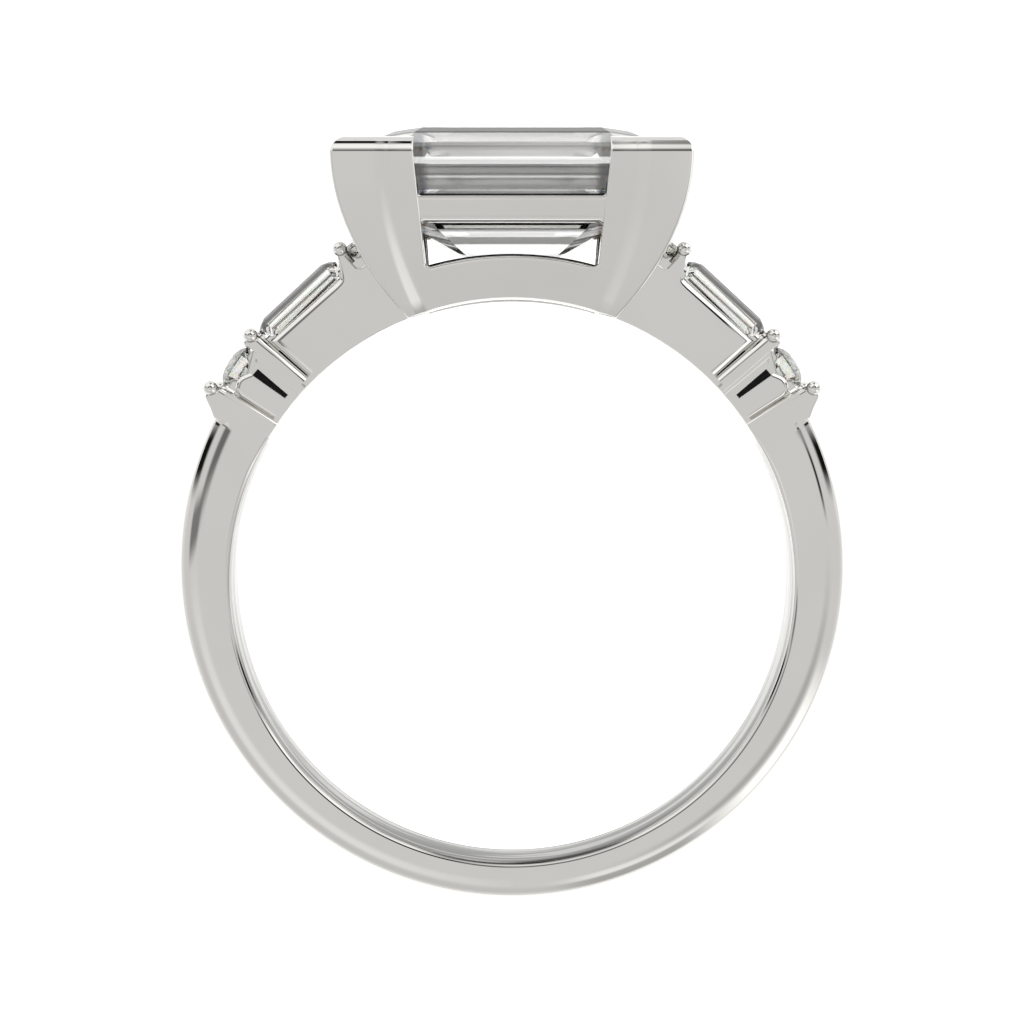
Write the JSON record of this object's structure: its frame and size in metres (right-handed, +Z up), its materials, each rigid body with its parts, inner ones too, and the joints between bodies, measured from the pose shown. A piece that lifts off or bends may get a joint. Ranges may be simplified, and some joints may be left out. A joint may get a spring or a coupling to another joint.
{
  "type": "seven-stone ring",
  "caption": "Finger ring with an emerald-cut centre stone held between half bezels, baguette and round accent stones on the shoulders, and a plain tapered band.",
  "frame": {"origin": "middle of the floor area that the ring covers as it lies on its side, on the floor", "axes": "+X across the band, +Y from the back of the band towards the centre stone, +Z up, which is the finger's axis but for the few degrees that the wide setting tips the ring"},
  "size_m": [0.0196, 0.0227, 0.0072],
  "materials": {
    "white_gold": "mirror polish",
    "clear_stone": "polished facets"
  },
  "bodies": {
    "root": {"ring_metal": "white_gold", "centre_stone": "clear_stone", "baguette_left": "clear_stone", "baguette_right": "clear_stone", "round_inner_left": "clear_stone", "round_inner_right": "clear_stone", "round_outer_left": "clear_stone", "round_outer_right": "clear_stone"}
  },
  "joints": []
}
